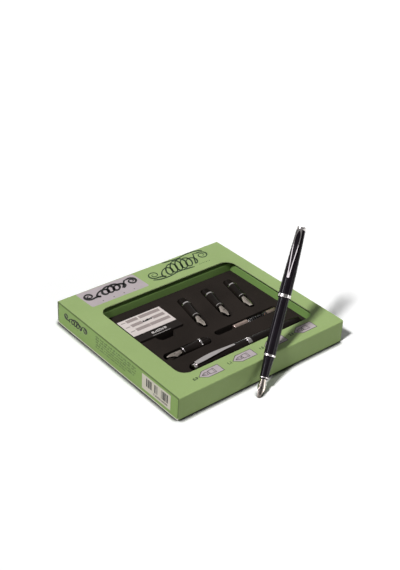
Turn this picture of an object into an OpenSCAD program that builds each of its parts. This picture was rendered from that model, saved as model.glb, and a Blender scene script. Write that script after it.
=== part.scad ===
// Calligraphy set box: a card sleeve with a window in its top, a tray that slides out of its left end,
// and in the tray's foam bed a capped fountain pen, four spare nib units, a piston converter and a
// carton of ink cartridges. A second pen stands in front with its cap posted and leans on the sleeve.
// Origin: centre of the sleeve's underside. +X to the right, +Y to the back, +Z up. Millimetres.

/* [Sleeve] */
// Width of the sleeve, open end to open end
sleeve_w = 205; // [200:1:260]
// Depth of the sleeve, front panel to back panel
sleeve_d = 191; // [186:1:240]
// Height of the sleeve
sleeve_h = 25; // [23:0.5:40]
// Thickness of the sleeve's card
card_t = 0.9; // [0.6:0.1:1.2]
// Outer radius of the sleeve's creases
crease_r = 1.5; // [1.3:0.1:2.5]
// Height of the flap glued inside the back panel
glue_flap_h = 15; // [8:1:18]

/* [Window] */
// Left end of the sleeve to the window
window_left = 22.5; // [20:0.5:24]
// Right end of the sleeve to the window
window_right = 15; // [12:0.5:17]
// Front panel to the window
window_front = 23.5; // [20:0.5:25]
// Back panel to the window
window_back = 37.5; // [30:0.5:41]
// Corner radius of the window
window_r = 11; // [4:0.5:14]

/* [Tray] */
// Thickness of the tray's card and of its inner frame
tray_t = 0.8; // [0.5:0.1:1.1]
// Thickness of the folded end walls
end_wall_t = 1.8; // [1.2:0.1:3]
// Outer radius of the tray's creases
tray_crease_r = 1.2; // [1.2:0.1:2]
// Running gap between the tray and the sleeve
tray_gap = 0.3; // [0.2:0.05:0.6]
// Gap between pieces that are set into the tray
set_gap = 0.2; // [0.1:0.05:0.4]
// Underside of the top panel down to the inner frame's ledge
ledge_drop = 4.8; // [3:0.1:5.5]
// Ledge that shows inside the window's left and right edges
reveal_side = 4; // [2:0.5:6]
// Well wall set back from the window's front edge
reveal_front = 2.5; // [1:0.5:4]
// Well wall set back from the window's back edge
reveal_back = 0.5; // [0:0.5:3]
// Width of the sticker on the left end wall
sticker_w = 41.2; // [30:0.2:60]
// Height of the sticker
sticker_h = 16.2; // [10:0.2:18]
// Thickness of both paper labels
sticker_t = 0.15; // [0.1:0.05:0.3]
// Front panel to the sticker
sticker_front = 11.4; // [5:0.2:60]
// Underside of the tray to the sticker
sticker_lift = 3.5; // [2:0.1:4]

/* [Foam bed] */
// Thickness of the foam
foam_h = 8.8; // [7:0.1:10]
// Foam left under the pockets
foam_base = 1.6; // [1:0.1:2.5]
// Gap between a pocket's wall and its piece
pocket_gap = 0.35; // [0.3:0.05:0.8]
// Gap under a round piece in its pocket
lie_gap = 0.3; // [0.2:0.05:0.5]
// Room past a piece's end in a pocket with a round end
pocket_end = 2.6; // [2.4:0.1:3.5]
// Radius of the thumb notch in front of the carton
thumb_r = 11; // [8:0.5:13]
// Free length of the converter's pocket, for a fingertip
finger_room = 21.5; // [12:0.5:26]

/* [Layout] */
// Right edge of the window to the capped pen's end
pen_from_right = 2.8; // [2.7:0.1:6]
// Front edge of the window to the capped pen's axis
pen_from_front = 18; // [12:0.5:20]
// Right edge of the window to the tip of the third spare nib
spare_from_right = 24.3; // [22:0.1:28]
// Right side of the carton to the tip of the first spare nib
spare_from_carton = 18; // [10:0.5:22]
// Front edge of the window to the tips of the tilted nib units
spare_from_front = 65.2; // [62:0.1:70]
// Heading of the tilted nib units, from +X
spare_heading = 78; // [72:1:90]
// Left edge of the window to the tip of the fourth spare nib
fourth_from_left = 18.2; // [10:0.1:20]
// Front edge of the window to the fourth unit's axis
fourth_from_front = 45; // [36:0.5:52]
// Right edge of the window to the converter's mouth
converter_from_right = 7; // [4:0.5:10]
// Front edge of the window to the converter's axis
converter_from_front = 48; // [38:0.5:52]
// Left edge of the window to the carton
carton_from_left = 11.5; // [6:0.5:14]
// Back edge of the window to the carton
carton_from_back = 14; // [6:0.5:18]

/* [Nib] */
// Thickness of the nib's steel
nib_t = 0.3; // [0.2:0.05:0.4]
// Radius of the nib's base round the feed
nib_base_r = 2.75; // [2.4:0.05:2.9]
// Nib tip to the front ring, the length that shows
nib_shows = 18.4; // [17:0.1:23]
// Nib tip to the round base
nib_flare = 15; // [13:0.5:16]
// Nib tip to its widest place
nib_shoulder_s = 9.5; // [8:0.1:11]
// Radius to which the sheet opens at the tip
nib_open_r = 7; // [6:0.1:8]
// Width at the shoulders
shoulder_w = 7.4; // [6.4:0.1:7.8]
// Width of the first spare nib's square-cut tip
first_tip_w = 2.3; // [1:0.1:5]
// Width of the second spare nib's tip
second_tip_w = 1.5; // [1:0.1:5]
// Width of the third spare nib's tip
third_tip_w = 4.2; // [1:0.1:5]
// Width of the fourth spare nib's tip
fourth_tip_w = 1.1; // [1:0.1:5]
// Width of both pens' tips
pen_tip_w = 2.9; // [1:0.1:5]
// Fall of the nib's back towards the tip, degrees
nib_droop = 3.5; // [1:0.5:4]
// Diameter of the breather hole
breather_d = 1.3; // [0.8:0.1:1.6]
// Width of the slit
slit_w = 0.15; // [0.1:0.05:0.25]
// Number of fins on the feed
fin_count = 7; // [3:1:8]

/* [Grip section] */
// Length of the grip between its two rings
grip_len = 19.2; // [16:0.1:24]
// Diameter of the grip at the front ring
grip_front_d = 8.1; // [7.6:0.1:8.6]
// Diameter of the grip at the barrel
grip_back_d = 10.3; // [9.8:0.1:10.5]
// Diameter of the front ring
front_ring_d = 8.8; // [8.2:0.1:8.9]
// Length of the front ring
front_ring_l = 1; // [0.6:0.1:1.6]
// Diameter of the barrel ring
barrel_ring_d = 11.3; // [11:0.1:11.8]
// Length of the barrel ring
barrel_ring_l = 1.9; // [1:0.1:3]
// Diameter of the threaded tenon
tenon_d = 8.5; // [8.4:0.1:8.8]
// Length of the tenon
tenon_l = 10; // [7:0.5:12]
// Pitch of the tenon's thread
thread_pitch = 1; // [0.8:0.1:1.5]
// Wall of the tenon round the cartridge
tenon_wall = 0.5; // [0.4:0.05:0.6]

/* [Barrel and cap] */
// Length of the barrel
barrel_len = 66; // [60:0.5:72]
// Diameter of the barrel at its ring
barrel_d = 11; // [10.6:0.1:11.4]
// Diameter of the barrel at its end
barrel_end_d = 8.6; // [7.8:0.1:9]
// Thickness of the barrel's closed end
barrel_floor_l = 8; // [5:0.5:9]
// Length of the cap without band, clip washer and finial
cap_len = 62.4; // [58:0.1:68]
// Diameter of the cap above its band
cap_d = 12; // [11.9:0.1:12.2]
// Diameter of the cap's closed end
cap_top_d = 8.6; // [8.4:0.1:9.4]
// Depth of the cap's bore
cap_bore_l = 48; // [45:0.5:54]
// Diameter of the cap's band
band_d = 12.3; // [12.2:0.1:12.8]
// Height of the band
band_h = 3; // [2:0.1:4]
// Height of the finial
finial_h = 3; // [2:0.1:4]
// Diameter of the finial
finial_d = 8.4; // [7.6:0.1:8.4]
// Length of the clip
clip_len = 48; // [40:0.5:52]
// Width of the clip at its root
clip_root_w = 4.2; // [3:0.1:4.4]
// Width of the clip where it is widest
clip_belly_w = 5.6; // [4.4:0.1:6]
// The clip's root down to its widest place
clip_belly_drop = 12; // [8:0.5:20]
// Width of the clip at its tip
clip_tip_w = 2.4; // [1.6:0.1:3]
// Thickness of the clip
clip_t = 0.8; // [0.6:0.05:1]
// Height of the clip's arch over the cap
clip_arch = 1; // [0.6:0.1:1.5]
// Radial gap of a turning or screwed fit
turn_gap = 0.05; // [0.03:0.01:0.08]
// Gap between faces that stop against each other
face_gap = 0.1; // [0.05:0.05:0.2]

/* [Converter] */
// Diameter of the turning knob and of the mouth
knob_d = 7; // [6.8:0.1:7.4]
// Length of the knob
knob_l = 17.3; // [15:0.1:20]
// Diameter of the clear tube
tube_d = 6.5; // [6.2:0.1:6.6]
// Bore of the clear tube
tube_bore_d = 5.2; // [4.8:0.1:5.4]
// Length of the clear tube that shows between knob and mouth
tube_shows = 25.7; // [24:0.1:30]
// Length of the metal mouth
mouth_l = 13; // [8:0.5:16]
// Diameter of the piston rod
rod_d = 2.4; // [2:0.1:2.6]
// Length of the piston
piston_l = 4; // [3:0.1:5]

/* [Cartridges] */
// Number of cartridges in the carton
cartridge_count = 6; // [4:1:6]
// Diameter of a cartridge
cartridge_d = 7.2; // [6.6:0.1:7.2]
// Length of a cartridge
cartridge_l = 36.6; // [33:0.1:36.8]
// Diameter of a cartridge's neck
neck_d = 4.4; // [4:0.1:5]
// Width of the carton
carton_w = 52; // [50:0.5:55]
// Depth of the carton
carton_d = 38.5; // [38:0.5:42]
// Height of the carton
carton_h = 9.5; // [9:0.1:11]
// Thickness of the carton's card
carton_t = 0.5; // [0.3:0.05:0.6]
// Depth of the label on the carton
carton_label_d = 28.5; // [20:0.5:34]

/* [Standing pen] */
// Left end of the sleeve to the standing pen's nib tip
stand_from_left = 80; // [60:0.5:120]
// Tilt of the standing pen from upright
stand_tilt = 42; // [35:1:50]
// Compass heading of its lean, from +X
stand_heading = 31; // [25:1:60]
// Turn of the pen about its own axis
stand_roll = 10; // [-180:5:180]
// Turn of its posted cap about the same axis
stand_cap_roll = -10; // [-180:5:180]
// Depth to which the posted cap covers the barrel
posted_depth = 12; // [9:0.5:13]

/* [Hidden] */
$fn = 48;
cut = 1;

green = [0.62, 0.71, 0.47];
dark_green = [0.40, 0.54, 0.28];
foam_black = [0.17, 0.15, 0.14];
gloss_black = [0.10, 0.08, 0.10];
silver = [0.80, 0.80, 0.82];
steel = [0.66, 0.62, 0.58];
champagne = [0.70, 0.62, 0.58];
clear_grey = [0.55, 0.55, 0.55, 0.5];
paper = [0.88, 0.86, 0.84];
ink_blue = [0.12, 0.14, 0.35];

// Window and well, from the sleeve's front left corner
window_w = sleeve_w - window_left - window_right;
window_d = sleeve_d - window_front - window_back;
window_x1 = window_left + window_w;
window_y1 = window_front + window_d;
well_x0 = window_left - reveal_side;
well_x1 = window_x1 + reveal_side;
well_y0 = window_front - reveal_front;
well_y1 = window_y1 + reveal_back;
well_w = well_x1 - well_x0;
well_d = well_y1 - well_y0;

// Heights
floor_z = card_t;
bed_z = floor_z + tray_t;
foam_top_z = bed_z + foam_h;
pocket_z = bed_z + foam_base;
ledge_z = sleeve_h - card_t - ledge_drop;
end_wall_h = sleeve_h - 2 * card_t - tray_gap;

// Tray, from the sleeve's front left corner
tray_y0 = card_t + tray_gap;
tray_d = sleeve_d - 3 * card_t - 2 * tray_gap;
frame_x0 = end_wall_t + set_gap;
frame_x1 = sleeve_w - end_wall_t - set_gap;
frame_side_gap = max(tray_t + set_gap, tray_crease_r);
frame_y0 = tray_y0 + frame_side_gap;
frame_y1 = tray_y0 + tray_d - frame_side_gap;

// Nib unit, measured along its axis from the nib's tip
collar_l = 1.2;
nib_base_l = 7;
ring_s = nib_shows;
grip_s = ring_s + front_ring_l;
grip_end_s = grip_s + grip_len;
barrel_ring_s = grip_end_s;
tenon_s = barrel_ring_s + barrel_ring_l;
unit_len = tenon_s + tenon_l;
nose_r = front_ring_d / 2 - 0.75;
base_end_s = nib_shows + nib_base_l;
nipple_s = grip_end_s - 4;
nipple_l = 5;
nipple_r = 1.6;
spigot_r = tenon_d / 2;
socket_r = tenon_d / 2 - tenon_wall;
fit = 0.03;

// Pen, measured along its axis from the nib's tip
barrel_s = tenon_s + face_gap;
barrel_end_s = barrel_s + barrel_len;
washer_t = 0.6;
cap_body_z = band_h;
cap_top_z = cap_body_z + cap_len;
cap_total = cap_top_z + washer_t + finial_h;
capped_len = cap_total + barrel_end_s - grip_end_s;
posted_s = barrel_end_s - posted_depth;
stud_r = 1.4;
stud_l = 5;
stud_bore_l = 6;
cap_mouth_r = cap_d / 2 - 0.65;
cap_inner_r = front_ring_d / 2 + 0.25;

// Converter, measured along its axis from the knob's end
tube_s = knob_l + face_gap;
mouth_s = tube_s + tube_shows;
converter_len = mouth_s + mouth_l;
neck_l = 3;
tube_end_wall = 2;
tube_lap = 4;
rod_s = 1.5;
piston_s = tube_s + tube_end_wall + 0.4;

// Axis heights of the pieces in the foam
pen_z = pocket_z + lie_gap + band_d / 2;
unit_z = pocket_z + lie_gap + barrel_ring_d / 2;
converter_z = pocket_z + lie_gap + knob_d / 2;
cartridge_z = pocket_z + carton_t + 0.2 + cartridge_d / 2;

// Places in the foam bed, from the sleeve's front left corner
pen_x = window_x1 - pen_from_right - capped_len;
pen_y = window_front + pen_from_front;
spare_y = window_front + spare_from_front;
fourth_x = window_left + fourth_from_left;
fourth_y = window_front + fourth_from_front;
converter_x = window_x1 - converter_from_right - converter_len;
converter_y = window_front + converter_from_front;
carton_x = window_left + carton_from_left;
carton_y = window_y1 - carton_from_back - carton_d;
thumb_x = carton_x + 0.56 * carton_w;
spare_x0 = carton_x + carton_w + spare_from_carton;
spare_x2 = window_x1 - spare_from_right;
spare_x = [spare_x0, (spare_x0 + spare_x2) / 2, spare_x2];

// The standing pen's nib touches the floor with a corner of its square tip, so its axis starts lower
tip_rise = nib_base_r - nib_t - nib_flare * tan(nib_droop);
tip_sag = nib_open_r - sqrt(nib_open_r * nib_open_r - pen_tip_w * pen_tip_w / 4);
tip_drop = (
    (tip_rise - tip_sag) * cos(stand_roll) - pen_tip_w / 2 * abs(sin(stand_roll))
) * sin(stand_tilt);

// Its grip leans on the front crease of the sleeve's top. The crease and the pen's axis are crossing
// lines, and the tip's place follows from the distance between them.
lean = [
    sin(stand_tilt) * cos(stand_heading),
    sin(stand_tilt) * sin(stand_heading),
    cos(stand_tilt)
];
lean_run = sqrt(lean.y * lean.y + lean.z * lean.z);
crease_y = crease_r;
crease_rise = sleeve_h - crease_r + tip_drop;
function lean_y(reach) = crease_y - (reach * lean_run + crease_rise * lean.y) / lean.z;
function lean_s(reach) =
    ((crease_y - lean_y(reach)) * lean.y + crease_rise * lean.z) / (lean_run * lean_run);
rest_s = lean_s(grip_back_d / 2 + crease_r + lie_gap);
rest_r = grip_r((rest_s - grip_s) / grip_len);
stand_y = lean_y(rest_r + crease_r + lie_gap);

module in_box() {
    translate([-sleeve_w / 2, -sleeve_d / 2, 0]) children();
}

module rounded_rect(w, h, r) {
    translate([r, 0]) square([w - 2 * r, h]);
    translate([0, r]) square([w, h - 2 * r]);
    for (x = [r, w - r], y = [r, h - r]) {
        translate([x, y]) circle(r);
    }
}

// Rectangle with only its lower corners rounded
module folded_rect(w, h, r) {
    rounded_rect(w, h, r);
    translate([0, h / 2]) square([w, h / 2]);
}

// Extrudes a drawing of depth and height along +X
module along_x(length) {
    rotate([90, 0, 90]) linear_extrude(length) children();
}

// Sleeve

module sleeve_profile() {
    difference() {
        rounded_rect(sleeve_d, sleeve_h, crease_r);
        translate([card_t, card_t])
            rounded_rect(sleeve_d - 2 * card_t, sleeve_h - 2 * card_t, crease_r - card_t);
    }
    translate([sleeve_d - 2 * card_t, card_t]) square([card_t, glue_flap_h]);
}

module sleeve() {
    color(green) in_box() difference() {
        along_x(sleeve_w) sleeve_profile();
        translate([window_left, window_front, sleeve_h - card_t - cut])
            linear_extrude(card_t + 2 * cut) rounded_rect(window_w, window_d, window_r);
    }
}

// Tray and its card frame

module end_wall() {
    intersection() {
        along_x(end_wall_t) folded_rect(tray_d, end_wall_h, tray_crease_r);
        translate([0, tray_d, 0]) rotate([90, 0, 0]) linear_extrude(tray_d) {
            square([end_wall_t, end_wall_h - end_wall_t / 2]);
            translate([end_wall_t / 2, end_wall_h - end_wall_t / 2]) circle(end_wall_t / 2);
        }
    }
}

module slide_tray() {
    color(dark_green) in_box() translate([0, tray_y0, floor_z]) {
        along_x(sleeve_w) difference() {
            folded_rect(tray_d, ledge_z - floor_z, tray_crease_r);
            translate([tray_t, tray_t])
                folded_rect(tray_d - 2 * tray_t, ledge_z, tray_crease_r - tray_t);
        }
        end_wall();
        translate([sleeve_w - end_wall_t, 0, 0]) end_wall();
    }
}

// Section of a card flap that turns down from a ledge at height 0
module flap_section(drop) {
    translate([0, -drop]) square([tray_t, drop - tray_crease_r]);
    translate([tray_crease_r, -tray_crease_r]) intersection() {
        difference() {
            circle(tray_crease_r);
            circle(tray_crease_r - tray_t);
        }
        translate([-tray_crease_r, 0]) square(tray_crease_r);
    }
}

module flap(start, heading, length) {
    translate([start.x, start.y, ledge_z]) rotate([0, 0, heading])
        along_x(length) flap_section(ledge_z - bed_z);
}

module inner_frame() {
    r = tray_crease_r;
    frame_w = frame_x1 - frame_x0;
    frame_d = frame_y1 - frame_y0;
    color(dark_green) in_box() {
        translate([0, 0, ledge_z - tray_t]) linear_extrude(tray_t) difference() {
            translate([frame_x0 + r, frame_y0 + r]) square([frame_w - 2 * r, frame_d - 2 * r]);
            translate([well_x0 - r, well_y0 - r]) square([well_w + 2 * r, well_d + 2 * r]);
        }
        flap([well_x0 - tray_t, well_y1], 0, well_w + 2 * tray_t);
        flap([well_x1 + tray_t, well_y0], 180, well_w + 2 * tray_t);
        flap([well_x0, well_y0], 90, well_d);
        flap([well_x1, well_y1], 270, well_d);
        flap([frame_x0 + r, frame_y0], 0, frame_w - 2 * r);
        flap([frame_x1 - r, frame_y1], 180, frame_w - 2 * r);
        flap([frame_x1, frame_y0 + r], 90, frame_d - 2 * r);
        flap([frame_x0, frame_y1 - r], 270, frame_d - 2 * r);
    }
}

module barcode_label() {
    color(paper) in_box()
        translate([-sticker_t, sticker_front, floor_z + sticker_lift])
            cube([sticker_t, sticker_w, sticker_h]);
}

// Places along the foam bed: children lie along +Z with their upper side towards -X

module laid(x, y, z, heading) {
    in_box() translate([x, y, z]) rotate([0, 0, heading]) rotate([0, 90, 0]) children();
}

module in_first() laid(spare_x[0], spare_y, unit_z, spare_heading) children();
module in_second() laid(spare_x[1], spare_y, unit_z, spare_heading) children();
module in_third() laid(spare_x[2], spare_y, unit_z, spare_heading) children();
module in_fourth() laid(fourth_x, fourth_y, unit_z, 0) children();
module in_converter_pocket() laid(converter_x, converter_y, converter_z, 0) children();

// The capped pen's nib points to the left, so its axis starts inside the cap
module in_pen_pocket() {
    laid(pen_x + cap_total - grip_end_s, pen_y, pen_z, 0) children();
}

// Pocket with round ends for a piece of this length and diameter that starts at the origin
module pocket(x, y, heading, length, d, extra = 0) {
    r = d / 2 + pocket_gap;
    translate([x, y, pocket_z]) rotate([0, 0, heading]) linear_extrude(foam_h) {
        translate([r - pocket_end - extra, -r])
            square([length + 2 * pocket_end + extra - 2 * r, 2 * r]);
        translate([r - pocket_end - extra, 0]) circle(r);
        translate([length + pocket_end - r, 0]) circle(r);
    }
}

module foam_insert() {
    color(foam_black) in_box() difference() {
        translate([well_x0 + set_gap, well_y0 + set_gap, bed_z])
            cube([well_w - 2 * set_gap, well_d - 2 * set_gap, foam_h]);
        pocket(pen_x, pen_y, 0, capped_len, band_d);
        for (x = spare_x) {
            pocket(x, spare_y, spare_heading, unit_len, barrel_ring_d);
        }
        pocket(fourth_x, fourth_y, 0, unit_len, barrel_ring_d);
        pocket(converter_x, converter_y, 0, converter_len, knob_d, finger_room);
        translate([carton_x - pocket_gap, carton_y - pocket_gap, pocket_z])
            cube([carton_w + 2 * pocket_gap, carton_d + 2 * pocket_gap, foam_h]);
        translate([thumb_x, carton_y, pocket_z]) cylinder(r = thumb_r, h = foam_h);
    }
}

// Ink cartridges and their carton

module cartridge_carton() {
    color(gloss_black) in_box() translate([carton_x, carton_y, pocket_z]) difference() {
        cube([carton_w, carton_d, carton_h]);
        translate([carton_t, carton_t, carton_t])
            cube([carton_w - 2 * carton_t, carton_d - 2 * carton_t, carton_h - 2 * carton_t]);
    }
}

module carton_label() {
    color(paper) in_box()
        translate([carton_x + set_gap, carton_y + carton_d - carton_label_d, pocket_z + carton_h])
            cube([carton_w - 2 * set_gap, carton_label_d - set_gap, sticker_t]);
}

// A short cartridge along +Z, neck first
module cartridge() {
    r = cartridge_d / 2;
    neck_r = neck_d / 2;
    neck_l = 3.5;
    waist_l = 6;
    bore_r = nipple_r + fit;
    color(ink_blue) rotate_extrude() polygon([
        [bore_r, 0], [neck_r, 0], [neck_r, neck_l], [r - 0.6, neck_l + 1.2], [r - 0.6, neck_l + waist_l],
        [r, neck_l + waist_l + 1.5], [r, cartridge_l - 1], [r - 0.7, cartridge_l], [0, cartridge_l],
        [0, nipple_l + 1], [bore_r, nipple_l + 1]
    ]);
}

module ink_cartridges() {
    pitch = (carton_w - 2 * carton_t) / cartridge_count;
    in_box() for (i = [0:cartridge_count - 1]) {
        translate([
            carton_x + carton_t + (i + 0.5) * pitch,
            carton_y + (carton_d - cartridge_l) / 2,
            cartridge_z
        ]) rotate([-90, 0, 0]) cartridge();
    }
}

// Nib unit along +Z from the nib's tip, with the nib's back towards -X

// Half width of the nib at s from its tip: a hollow curve out to the shoulders, then in to the base
function nib_half(s, tip) =
    s < nib_shoulder_s
        ? tip / 2 + (shoulder_w - tip) / 2 * pow(s / nib_shoulder_s, 1.3)
        : nib_base_r - 0.05 + (shoulder_w / 2 - nib_base_r + 0.05)
            * (1 + cos(180 * min(1, (s - nib_shoulder_s) / (nib_flare - nib_shoulder_s)))) / 2;

module nib_outline(tip) {
    steps = 16;
    s = [for (i = [0:steps]) nib_flare * i / steps];
    edge = [for (v = s) [nib_half(v, tip), v]];
    side = concat(edge, [[nib_base_r - 0.05, base_end_s]]);
    polygon(concat(side, [for (i = [len(side) - 1:-1:0]) [-side[i].x, side[i].y]]));
}

// Cone that opens from the base towards the tip, turned so that its back runs down to the tip
module nib_cone(inset, lap) {
    flare = atan((nib_open_r - nib_base_r) / nib_flare);
    wall = inset / cos(flare);
    translate([-nib_base_r, 0, nib_flare]) rotate([0, -flare - nib_droop, 0])
        translate([nib_base_r, 0, -nib_flare - lap])
            cylinder(
                r1 = nib_open_r + lap * tan(flare) - wall,
                r2 = nib_base_r - lap * tan(flare) - wall,
                h = nib_flare + 2 * lap
            );
}

module nib(tip) {
    color(steel) difference() {
        intersection() {
            union() {
                difference() {
                    nib_cone(0, 0.6);
                    nib_cone(nib_t, cut);
                }
                translate([0, 0, nib_flare - 0.4]) difference() {
                    cylinder(r = nib_base_r, h = base_end_s - nib_flare + 0.4);
                    translate([0, 0, -cut])
                        cylinder(r = nib_base_r - nib_t, h = base_end_s - nib_flare + 2 * cut);
                }
            }
            translate([-nib_base_r - 2, 0, 0]) rotate([90, 0, 90])
                linear_extrude(nib_base_r + 2) nib_outline(tip);
        }
        translate([0, 0, nib_flare]) cylinder(r = nib_base_r - nib_t - 0.02, h = base_end_s);
        translate([-nib_base_r - cut, -slit_w / 2, -cut])
            cube([nib_base_r + cut, slit_w, nib_shoulder_s + cut]);
        translate([-nib_base_r - cut, 0, nib_shoulder_s]) rotate([0, 90, 0])
            cylinder(d = breather_d, h = nib_base_r + cut);
    }
}

module feed() {
    r = nib_base_r - nib_t - 0.05;
    nose_s = 4.5;
    full_s = 11;
    fin_pitch = (nib_shows - collar_l - full_s) / (fin_count + 0.5);
    color(gloss_black) difference() {
        rotate_extrude() polygon([
            [0, nose_s], [0.9, nose_s], [r, full_s], [r, base_end_s], [0, base_end_s]
        ]);
        // Bed that follows the underside of the nib
        difference() {
            translate([-2 * r, -2 * r, 0]) cube([4 * r, 4 * r, nib_flare]);
            nib_cone(nib_base_r - r, cut);
        }
        for (i = [0:fin_count - 1]) {
            translate([0, 0, full_s + (i + 0.5) * fin_pitch]) difference() {
                cylinder(r = r + cut, h = fin_pitch / 2);
                translate([0, 0, -cut]) cylinder(r = r - 0.7, h = fin_pitch / 2 + 2 * cut);
            }
        }
    }
}

// Outline of the grip between its rings, slightly hollow
function grip_r(t) =
    grip_front_d / 2 + (grip_back_d - grip_front_d) / 2 * t - 0.25 * sin(180 * t);

module section() {
    steps = 8;
    ribs = floor((tenon_l - 2) / thread_pitch);
    rib = 0.35;
    color(gloss_black) rotate_extrude() polygon(concat(
        [[nib_base_r + fit, ring_s - collar_l], [nose_r, ring_s - collar_l], [nose_r, grip_s]],
        [for (i = [0:steps]) [grip_r(i / steps), grip_s + grip_len * i / steps]],
        [[spigot_r, grip_end_s], [spigot_r, tenon_s]],
        [for (i = [0:ribs - 1]) each [
            [spigot_r - rib, tenon_s + 1 + i * thread_pitch],
            [spigot_r, tenon_s + 1 + (i + 0.5) * thread_pitch]
        ]],
        [
            [spigot_r - rib, tenon_s + 1 + ribs * thread_pitch], [spigot_r - rib, unit_len],
            [socket_r, unit_len], [socket_r, nipple_s], [nipple_r, nipple_s],
            [nipple_r, nipple_s + nipple_l], [0.9, nipple_s + nipple_l], [0.9, base_end_s + 0.3],
            [nib_base_r + fit, base_end_s + 0.3]
        ]
    ));
}

module ring(inner_r, outer_r, s, length) {
    bevel = 0.2;
    rotate_extrude() polygon([
        [inner_r, s], [outer_r - bevel, s], [outer_r, s + bevel],
        [outer_r, s + length - bevel], [outer_r - bevel, s + length], [inner_r, s + length]
    ]);
}

module rings() {
    color(silver) {
        ring(nose_r + fit, front_ring_d / 2, ring_s, front_ring_l);
        ring(spigot_r + fit, barrel_ring_d / 2, barrel_ring_s, barrel_ring_l);
    }
}

// Barrel, along the same axis as the nib unit

function barrel_r(t) = barrel_d / 2 - (barrel_d - barrel_end_d) / 2 * pow(t, 4);

module barrel() {
    steps = 10;
    round_l = 1.2;
    body_l = barrel_len - round_l;
    bore_r = spigot_r + turn_gap;
    inner_r = cartridge_d / 2 + 0.15;
    bore_end_s = barrel_end_s - barrel_floor_l;
    bore_taper_l = 4;
    color(gloss_black) rotate_extrude() polygon(concat(
        [[bore_r, barrel_s]],
        [for (i = [0:steps]) [barrel_r(i / steps * body_l / barrel_len), barrel_s + body_l * i / steps]],
        [
            [barrel_end_d / 2 - 0.7, barrel_end_s], [0, barrel_end_s],
            [0, bore_end_s], [inner_r - 1, bore_end_s],
            [inner_r, bore_end_s - bore_taper_l], [inner_r, barrel_s + tenon_l + 1],
            [bore_r, barrel_s + tenon_l + 1]
        ]
    ));
}

// Cap along +Z from its mouth, with the clip towards -X

function cap_r(z) =
    cap_d / 2 - (cap_d - cap_top_d) / 2 * pow(max(0, z - cap_body_z) / cap_len, 1.7);

module cap() {
    steps = 10;
    spigot = (cap_mouth_r + band_d / 2) / 2;
    color(gloss_black) rotate_extrude() polygon(concat(
        [[cap_mouth_r, face_gap], [spigot - fit, face_gap], [spigot - fit, cap_body_z]],
        [for (i = [0:steps]) let (z = cap_body_z + cap_len * i / steps) [cap_r(z), z]],
        [
            [stud_r + fit, cap_top_z], [stud_r + fit, cap_top_z - stud_bore_l], [0, cap_top_z - stud_bore_l],
            [0, cap_bore_l], [cap_inner_r - 1.5, cap_bore_l], [cap_inner_r, cap_bore_l - 2],
            [cap_inner_r, grip_len], [cap_mouth_r, 2.5]
        ]
    ));
}

module band() {
    spigot = (cap_mouth_r + band_d / 2) / 2;
    color(silver) ring(spigot, band_d / 2, 0, band_h);
}

module finial() {
    r = finial_d / 2;
    z = cap_top_z + washer_t;
    color(silver) rotate_extrude() polygon([
        [0, cap_top_z - stud_l], [stud_r, cap_top_z - stud_l], [stud_r, z], [r - 0.2, z], [r, z + 0.3],
        [r, z + finial_h - 1.1], [r - 0.35, z + finial_h - 0.5], [r - 1.1, z + finial_h - 0.1],
        [r - 2, z + finial_h], [0, z + finial_h]
    ]);
}

// Half width of the clip at d below its root: out to its belly, then in to its tip
function clip_half(d) =
    d < clip_belly_drop
        ? clip_root_w / 2 + (clip_belly_w - clip_root_w) / 2 * sin(90 * d / clip_belly_drop)
        : clip_tip_w / 2 + (clip_belly_w - clip_tip_w) / 4
            * (1 + cos(180 * (d - clip_belly_drop) / (clip_len - clip_tip_w / 2 - clip_belly_drop)));

// The clip's side view, arched from its tip up to the washer, cut to its leaf-shaped front view
module clip() {
    steps = 12;
    root_z = cap_top_z + washer_t;
    tip_z = root_z - clip_len;
    z = [for (i = [0:steps]) tip_z + clip_len * i / steps];
    back = [for (i = [0:steps]) -cap_r(min(z[i], cap_top_z)) - face_gap - clip_arch * sin(180 * i / steps)];
    color(silver) intersection() {
        translate([0, clip_belly_w, 0]) rotate([90, 0, 0]) linear_extrude(2 * clip_belly_w) {
            polygon(concat(
                [for (i = [0:steps]) [back[i], z[i]]],
                [for (i = [steps:-1:0]) [back[i] - clip_t, z[i]]]
            ));
            translate([back[steps] - clip_t / 2, cap_top_z]) square([-back[steps] - stud_r, washer_t]);
        }
        rotate([90, 0, 90]) translate([0, 0, -2 * cap_d]) linear_extrude(2 * cap_d) {
            leaf_l = clip_len - clip_tip_w / 2;
            edge = [for (i = [0:2 * steps]) let (d = leaf_l * i / (2 * steps)) [clip_half(d), root_z - d]];
            polygon(concat(
                [[clip_root_w / 2, root_z + washer_t]], edge,
                [for (i = [2 * steps:-1:0]) [-edge[i].x, edge[i].y]],
                [[-clip_root_w / 2, root_z + washer_t]]
            ));
            translate([0, tip_z + clip_tip_w / 2]) circle(d = clip_tip_w);
        }
    }
    color(silver) translate([0, 0, cap_top_z]) difference() {
        cylinder(r = finial_d / 2 - 0.1, h = washer_t);
        translate([0, 0, -cut]) cylinder(r = stud_r + fit, h = washer_t + 2 * cut);
    }
}

// The cap of the capped pen meets the barrel ring, and its closed end points to the nib's side
module capped() translate([0, 0, grip_end_s]) rotate([180, 0, 0]) children();

// The standing pen

module standing() {
    in_box() translate([stand_from_left, stand_y, -tip_drop]) rotate([0, stand_tilt, stand_heading])
        rotate([0, 0, stand_roll]) children();
}

module posted() translate([0, 0, posted_s]) rotate([0, 0, stand_cap_roll]) children();

// Converter along +Z from the knob's end

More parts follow.
